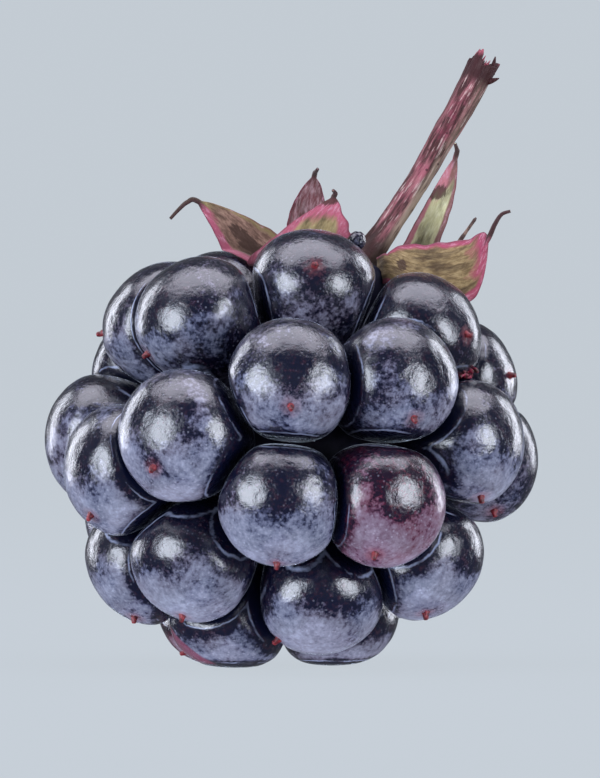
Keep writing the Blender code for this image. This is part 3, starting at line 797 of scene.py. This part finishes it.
def sepal_felt(name, face, streak, near_margin, far_margin, near_share, far_share, tip_share, scar_and_shadow):
    """Felted sepal: matt, with fine fibres that run from its foot to its tip.

    Fibres are 0.12 mm apart. The margin is flushed pink, the tip and awn dried brown.
    """
    material, tree, shader = new_material(name + "_felt")
    spread = add(tree, "ShaderNodeAttribute", output="Vector", attribute_name="fibre")
    blade = add(tree, "ShaderNodeAttribute", output="Vector", attribute_name="blade")
    across = add(tree, "ShaderNodeSeparateXYZ", {0: blade}, output="X")
    along = add(tree, "ShaderNodeSeparateXYZ", {0: blade}, output="Y")
    drawn = add(tree, "ShaderNodeMapping", {0: spread, "Scale": (1, 0.28, 1)})
    fibre, cloud, felt = [
        add(tree, "ShaderNodeTexNoise",
            {0: place, "Scale": 1 / size, "Detail": detail, "Roughness": rough})
        for place, size, detail, rough in (
            (drawn, 0.12, 4, 0.65), (drawn, 0.5, 4, 0.6), (spread, 0.07, 3, 0.5))]

    # The flush: how far beyond the start of the margin, on whichever side, or up the tip.
    width = add(tree, "ShaderNodeMath", {0: across}, operation="ABSOLUTE")
    start = add(tree, "ShaderNodeMapRange",
                {0: across, 1: -0.1, 2: 0.1, 3: near_share, 4: far_share})
    beyond = add(tree, "ShaderNodeMath", {0: width, 1: start}, operation="SUBTRACT")
    upwards = add(tree, "ShaderNodeMath", {0: along, 1: tip_share}, operation="SUBTRACT")
    nearest = add(tree, "ShaderNodeMath", {0: beyond, 1: upwards}, operation="MAXIMUM")
    wander = add(tree, "ShaderNodeMath", {0: cloud, 1: 0.5, 2: nearest},
                 operation="MULTIPLY_ADD")
    flushed = add(tree, "ShaderNodeMapRange", {0: wander, 1: 0.2, 2: 0.32, 4: 0.95})
    margin = layered(tree, near_margin, [(across, -0.1, 0.1, 1.0, far_margin)])
    light = add(tree, "ShaderNodeMath", {0: fibre, 1: flushed}, operation="MULTIPLY")

    # The dark spot, an oval with a ragged edge: a dried scar, but a painted shadow on the back
    # sepal. Then the dried tip and awn.
    spot_across, spot_along, half_across, half_along = scar_and_shadow
    offset = add(tree, "ShaderNodeMapping",
                 {0: blade, "Location": (-spot_across / half_across, -spot_along / half_along, 0),
                  "Scale": (1 / half_across, 1 / half_along, 0)})
    apart = add(tree, "ShaderNodeVectorMath", {0: offset}, output="Value", operation="LENGTH")
    torn = add(tree, "ShaderNodeMath", {0: fibre, 1: 1.6, 2: apart}, operation="MULTIPLY_ADD")
    tip = add(tree, "ShaderNodeMath", {0: cloud, 1: 0.3, 2: along}, operation="MULTIPLY_ADD")

    colour = layered(tree, face, (
        (fibre, 0.4, 0.64, 1.0, streak),
        (cloud, 0.52, 0.36, 0.7, "#2e1f14"),            # dark between the fibres
        (flushed, 0.0, 1.0, 1.0, margin),
        (light, 0.48, 0.62, 0.6, "#b08493"),            # pale fibres in the flush
        (width, 0.9, 0.98, 0.7, "#55202e"),             # the rim
        # the dark spot: a scar, and on the back sepal a painted shadow
        (torn, 1.9, 1.6, 0.85, "#35221a"),
        (tip, 1.07, 1.17, 0.95, "#2b1a17")))
    dress(tree, shader, ((fibre, 0.8, 0.06), (felt, 0.6, 0.03)), {
        "Base Color": colour, "Roughness": 0.85, "Specular IOR Level": 0.25,
        "Sheen Weight": 0.15, "Sheen Roughness": 0.5})
    return material


def blade_width(share, half_width, base_share, taper):
    """Half width of a sepal at a share of its length: ovate, drawn out to a narrow tip."""
    swell = base_share + (1 - base_share) * sin(pi * min(share * 1.6, 0.5))
    return max(half_width * swell * (1 - min(share, 1) ** taper), AWN_RADIUS)


def lifted(point):
    """Move a point of a sepal off any drupelet that it would run into."""
    for place, size in DRUPELETS.values():
        way, apart = (point - place).normalized(), (point - place).length
        if apart < DRUPELET_ACROSS + 0.65:
            clear = skin_distance(np.array([way]), place.normalized(), size)[0] + SEPAL_GAP
            if apart < clear:
                point = place + way * clear
    return point


def rooted(points, depth):
    """The points, and before them one that lies deeper, towards the calyx's middle."""
    foot = Vector(points[0])
    return [foot + (CALYX_CENTRE - foot).normalized() * depth, *points]


def build_sepal(name, spine, awn, across, half_width, base_share, taper, cup, *finish):
    """A leaf extruded along its midrib as a thin lens, which narrows into a round awn."""
    across = Vector(across).normalized()
    path = smooth_path([*rooted(spine, SEPAL_ROOT), *awn], BLADE_STEPS)
    tip = BLADE_STEPS * len(spine)
    rings, fibres, blades = [], [], []
    travelled = 0
    for index, (place, along, _, _) in enumerate(frames_along(path, across)):
        travelled += (place - path[max(index - 1, 0)]).length
        share = (index - BLADE_STEPS) / (tip - BLADE_STEPS)
        half = blade_width(max(share, 0), half_width, base_share, taper)
        if share < 0:
            half *= 1 + 0.35 * share
        if share >= 1:          # the awn bends where it likes, so its width turns with it
            across = (across - along * across.dot(along)).normalized()
        facing = across.cross(along).normalized()
        flat = min(1, max(0, (half - AWN_RADIUS) / 0.25))
        thick = AWN_RADIUS * (1 - flat) + SEPAL_THICKNESS / 2 * flat
        if share > 1:
            thick = half = AWN_RADIUS * (1 - 0.4 * (index - tip) / (len(path) - 1 - tip))
        ring, fibre_row, blade_row = [], [], []
        for corner in range(BLADE_POINTS):
            angle = 2 * pi * corner / BLADE_POINTS
            wide, side = cos(angle), sin(angle)
            wave = 0.07 * noise.noise(Vector((wide * 1.5, travelled * 0.9, half_width * 9))) * flat
            vein = 0.03 * noise.noise(Vector((wide * half * 5, travelled * 0.8, 5))) * flat
            edge = 1 + 0.06 * noise.noise(Vector((travelled * 2.2, wide, half_width))) * flat
            middle = (place + across * half * wide * edge
                      + facing * (cup * half * wide ** 2 + wave + vein * abs(side)))
            middle = lifted(middle) if share > -0.5 else middle
            # The margin is rolled, so it is a little thicker than the leaf inside it.
            roll = 0.5 * flat * np.exp(-((abs(wide) - 0.9) / 0.08) ** 2)
            body = thick * side * (1 - 0.2 * abs(wide) ** 3 * flat + roll)
            ring.append(middle + facing * body)
            fibre_row.append(Vector((half * wide, travelled, 3 if side > 0 else 9)))
            blade_row.append(Vector((wide, share, side)))
        rings.append(ring)
        fibres.append(fibre_row)
        blades.append(blade_row)
    bm = bmesh.new()
    extrude_rings(bm, rings, fibre=fibres, blade=blades)
    add_piece(name.replace("sepal", "calyx_leaf"), bm, [sepal_felt(name, *finish)], name)


for name, sepal in SEPALS.items():
    build_sepal(name, *sepal)

# ---------------------------------------------------------------------------
# Stamen filaments: dry brown threads that the flower left round the calyx.
# They shrivelled where they grew, so they are thin, bent and uneven.
FILAMENT_RADIUS = 0.1
FILAMENT_ROOT = 0.9             # how far its foot reaches into the cup
FILAMENTS = {
    "filament_right": [(4.9, 3.5, 6.7), (6.0, 3.8, 7.2), (6.9, 3.7, 8.4), (7.6, 3.2, 9.4)],
    "filament_left": [(0.4, 4.0, 7.6), (-0.4, 4.5, 8.0), (-1.2, 4.6, 8.5), (-1.6, 4.6, 9.2)],
    "filament_back": [(2.65, 5.2, 6.5), (2.9, 6.0, 7.2), (3.0, 6.6, 8.1)],
}


def dry_filament():
    """Dry stamen: a brown thread, dull, paler in parts about 0.3 mm long."""
    material, tree, shader = new_material("dry_stamen_filament")
    place = add(tree, "ShaderNodeTexCoord", output="Object")
    dry = add(tree, "ShaderNodeTexNoise", {0: place, "Scale": 1 / (0.3 * MM), "Detail": 4})
    colour = layered(tree, "#3f2c28", [(dry, 0.4, 0.62, 1.0, "#7d6458")])
    dress(tree, shader, [(dry, 0.7, 0.03)], {"Base Color": colour, "Roughness": 0.8})
    return material


def withered(path, radius, foot, unevenness, scale):
    """Radii along a thread that thins from its foot, and that dried unevenly."""
    return [radius * (foot - 0.5 * step / (len(path) - 1) + unevenness * noise.noise(place * scale))
            for step, place in enumerate(path)]


DRY_FILAMENT = dry_filament()

for name, points in FILAMENTS.items():
    path = smooth_path(rooted(points, FILAMENT_ROOT), 12)
    radii = withered(path, FILAMENT_RADIUS, 1.1, 0.3, 2.5)
    radii[-1] *= 0.5            # its tip is blunt and round
    bm = bmesh.new()
    add_thread(bm, path, Vector((0.1, 1, 0.2)), radii, 16)
    add_piece(name.replace("filament", "stamen"), bm, [DRY_FILAMENT], name)

# ---------------------------------------------------------------------------
# Caught threads: a few long dried styles that came off whole and stuck in the groove
# between two drupelets at the right. Thin, curled, red above and brown below.
THREAD_RADIUS = 0.1
CAUGHT_THREADS = [
    [(7.3, -1.0, 3.02), (7.15, -1.6, 3.1), (6.97, -2.15, 3.1), (6.84, -2.35, 3.0)],
    [(7.25, -1.0, 3.05), (7.18, -1.6, 3.2), (7.12, -2.05, 3.24), (7.0, -2.4, 3.2)],
    [(7.2, -1.0, 3.05), (7.35, -1.45, 3.22), (7.46, -1.75, 3.3), (7.58, -1.9, 3.2)],
    [(7.25, -1.0, 3.0), (7.2, -1.6, 3.16), (7.26, -1.9, 3.26), (7.4, -2.0, 3.2)],
    [(7.2, -1.05, 3.0), (7.05, -1.65, 3.0), (7.14, -1.95, 2.96), (7.32, -1.9, 3.0)],
]
THREAD_SKIN = dried_style("dried_style_thread", "#34120e", "#8a1c3c")

bm = bmesh.new()
for thread in CAUGHT_THREADS:
    path = smooth_path(thread, 8)
    add_thread(bm, path, Vector((0.1, 0.2, 1)), withered(path, THREAD_RADIUS, 1.15, 0.5, 3), 12)
add_piece("caught_threads", bm, [THREAD_SKIN], "")

# ---------------------------------------------------------------------------
# Studio: a bowl of pale paper round the berry, without a seam and lit from behind, two
# round soft boxes in front, four soft lights round them, and the camera.
FLAT_RADIUS = 0.8               # of the flat floor, in metres, as the next two are
BOWL_RADIUS = 1.6
BOWL_HEIGHT = 1.1


def build_bowl():
    """The floor, which curves up all round so that no edge shows from any side."""
    bm = bmesh.new()
    bend = BOWL_RADIUS - FLAT_RADIUS
    profile = [Vector((radius, 0, 0)) for radius in (0, 0.02, 0.06, 0.2, 0.5, FLAT_RADIUS)]
    for angle in np.linspace(0, pi / 2, 17):
        profile.append(Vector((FLAT_RADIUS + bend * sin(angle), 0, bend * (1 - cos(angle)))))
    profile.append(Vector((BOWL_RADIUS, 0, BOWL_HEIGHT)))
    verts = [bm.verts.new(point) for point in profile]
    edges = [bm.edges.new(pair) for pair in zip(verts, verts[1:])]
    bmesh.ops.spin(bm, geom=verts + edges, cent=(0, 0, 0), axis=(0, 0, 1), angle=2 * pi, steps=96,
                   use_merge=True)
    bmesh.ops.remove_doubles(bm, verts=bm.verts, dist=1e-6)
    bmesh.ops.recalc_face_normals(bm, faces=bm.faces)
    material, tree, shader = new_material("pale_studio_paper")
    place = add(tree, "ShaderNodeTexCoord", output="Object")
    tooth = add(tree, "ShaderNodeTexNoise", {0: place, "Scale": 1 / (1.2 * MM), "Detail": 2})
    # The paper is lit from behind, so that it stays pale and even from every side.
    feed(tree, shader, {
        "Base Color": layered(tree, "#1c1e20", [(tooth, 0.0, 1.0, 1.0, "#1f2123")]),
        "Emission Color": srgb("#c5cdd5"), "Emission Strength": 0.975, "Roughness": 0.9,
        "Specular IOR Level": 0.0})
    floor = add_object("studio_floor", bm, [material])
    floor.visible_shadow = False        # the light table under it shines through it
    floor.visible_glossy = False        # and the wet skins mirror only the soft boxes


build_bowl()

BOX_TARGET = Vector((0, 0, 9)) * MM


def aim(piece, place, target):
    """Put a light or the camera at a place, facing the target."""
    piece.location = place
    piece.rotation_euler = (Vector(target) - Vector(place)).to_track_quat("-Z", "Y").to_euler()
    bpy.context.scene.collection.objects.link(piece)


def soft_box(name, azimuth, elevation, distance, size, radiance, colour, shape="RECTANGLE"):
    """A soft box of a width and height in mm, as bright as radiance says, in W/m2/sr."""
    light = bpy.data.lights.new(name, "AREA")
    light.shape = shape
    light.size, light.size_y = size[0] * MM, size[1] * MM
    area = light.size * light.size_y * (pi / 4 if shape == "ELLIPSE" else 1)
    light.energy = radiance * pi * area
    light.color = srgb(colour)[:3]
    box = bpy.data.objects.new(name, light)
    box.visible_camera = False
    box.visible_glossy = name != "light_table"      # the paper over it spreads its light
    aim(box, BOX_TARGET + direction(azimuth, elevation) * distance * MM, BOX_TARGET)


soft_box("window_left", -52, 10, 170, (125, 135), 11, "#e8f0ff", "ELLIPSE")
soft_box("window_right", 52, 10, 170, (105, 120), 11, "#ecf2ff", "ELLIPSE")
soft_box("overhead", 0, 88, 150, (250, 130), 4.8, "#e9e8f8")
soft_box("light_table", 0, -62, 120, (260, 170), 4.2, "#efeeff")
soft_box("back_left", -128, 15, 200, (60, 160), 7, "#eef2ff")
soft_box("back_right", 128, 15, 200, (60, 160), 7, "#eef2ff")

world = bpy.data.worlds.new("pale_room")
world.use_nodes = True
background = world.node_tree.nodes["Background"]
background.inputs["Color"].default_value = srgb("#e2e8ef")
background.inputs["Strength"].default_value = 0.12
bpy.context.scene.world = world
bpy.context.scene.view_settings.view_transform = "Standard"

SIGHT = Vector((0.34, 0, 11.3)) * MM            # what the camera looks at
CAMERA_ELEVATION = 1.5
LENS = 500
SENSOR = 36
VIEW_HEIGHT = 31.74                             # of the picture, in millimetres
camera_data = bpy.data.cameras.new("camera")
camera_data.lens = LENS
camera_data.sensor_width = SENSOR
camera_data.clip_start = 0.01
camera = bpy.data.objects.new("camera", camera_data)
distance = VIEW_HEIGHT * LENS / SENSOR
aim(camera, SIGHT + direction(0, CAMERA_ELEVATION) * distance * MM, SIGHT)
bpy.context.scene.camera = camera
